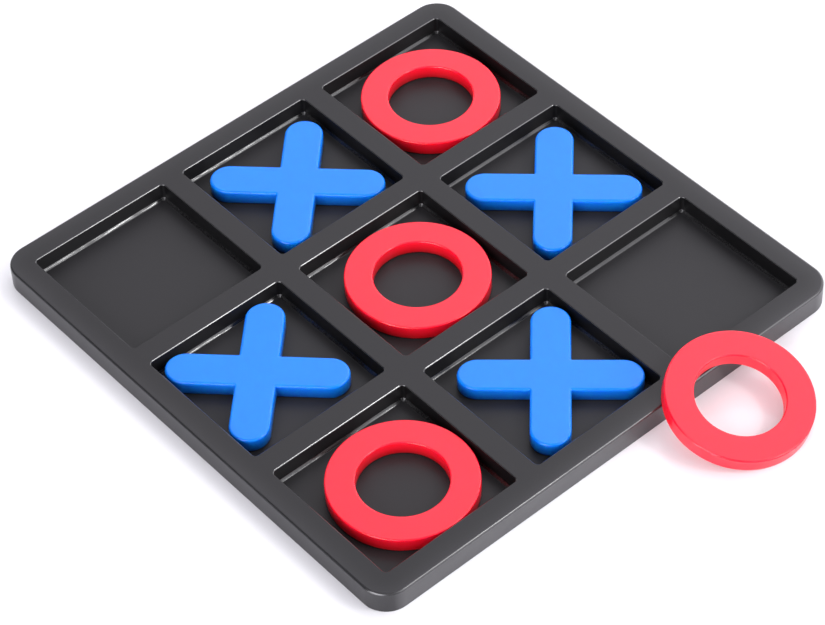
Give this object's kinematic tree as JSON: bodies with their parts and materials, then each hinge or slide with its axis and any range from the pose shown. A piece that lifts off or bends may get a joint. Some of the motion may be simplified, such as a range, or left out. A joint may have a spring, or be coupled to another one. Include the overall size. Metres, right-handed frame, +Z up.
{
  "type": "tic tac toe set",
  "caption": "Flat square tic tac toe board with a grid of recessed cells, crosses and rings lying loose in them, and a ring leaning on the board's edge.",
  "frame": {"origin": "centre of the board's flat underside", "axes": "+Z up out of the cells; X and Y along the board's sides, with the loose ring leaning on the -Y side"},
  "size_m": [0.14, 0.1676, 0.0113],
  "materials": {
    "board_plastic": "satin moulded charcoal plastic",
    "cross_plastic": "smooth moulded blue plastic",
    "ring_plastic": "smooth moulded red plastic"
  },
  "bodies": {
    "board": {"board": "board_plastic"},
    "x_piece_1": {"x_piece_1": "cross_plastic"},
    "x_piece_2": {"x_piece_2": "cross_plastic"},
    "x_piece_3": {"x_piece_3": "cross_plastic"},
    "x_piece_4": {"x_piece_4": "cross_plastic"},
    "o_piece_1": {"o_piece_1": "ring_plastic"},
    "o_piece_2": {"o_piece_2": "ring_plastic"},
    "o_piece_3": {"o_piece_3": "ring_plastic"},
    "o_piece_4": {"o_piece_4": "ring_plastic"}
  },
  "joints": [
    {"name": "lift_x_piece_1", "type": "slide", "parent": "board", "child": "x_piece_1", "axis": [0, 0, 1], "range_m": [0, 0.03]},
    {"name": "lift_x_piece_2", "type": "slide", "parent": "board", "child": "x_piece_2", "axis": [0, 0, 1], "range_m": [0, 0.03]},
    {"name": "lift_x_piece_3", "type": "slide", "parent": "board", "child": "x_piece_3", "axis": [0, 0, 1], "range_m": [0, 0.03]},
    {"name": "lift_x_piece_4", "type": "slide", "parent": "board", "child": "x_piece_4", "axis": [0, 0, 1], "range_m": [0, 0.03]},
    {"name": "lift_o_piece_1", "type": "slide", "parent": "board", "child": "o_piece_1", "axis": [0, 0, 1], "range_m": [0, 0.03]},
    {"name": "lift_o_piece_2", "type": "slide", "parent": "board", "child": "o_piece_2", "axis": [0, 0, 1], "range_m": [0, 0.03]},
    {"name": "lift_o_piece_3", "type": "slide", "parent": "board", "child": "o_piece_3", "axis": [0, 0, 1], "range_m": [0, 0.03]},
    {"name": "lift_o_piece_4", "type": "slide", "parent": "board", "child": "o_piece_4", "axis": [0, 0, 1], "range_m": [0, 0.03]}
  ]
}
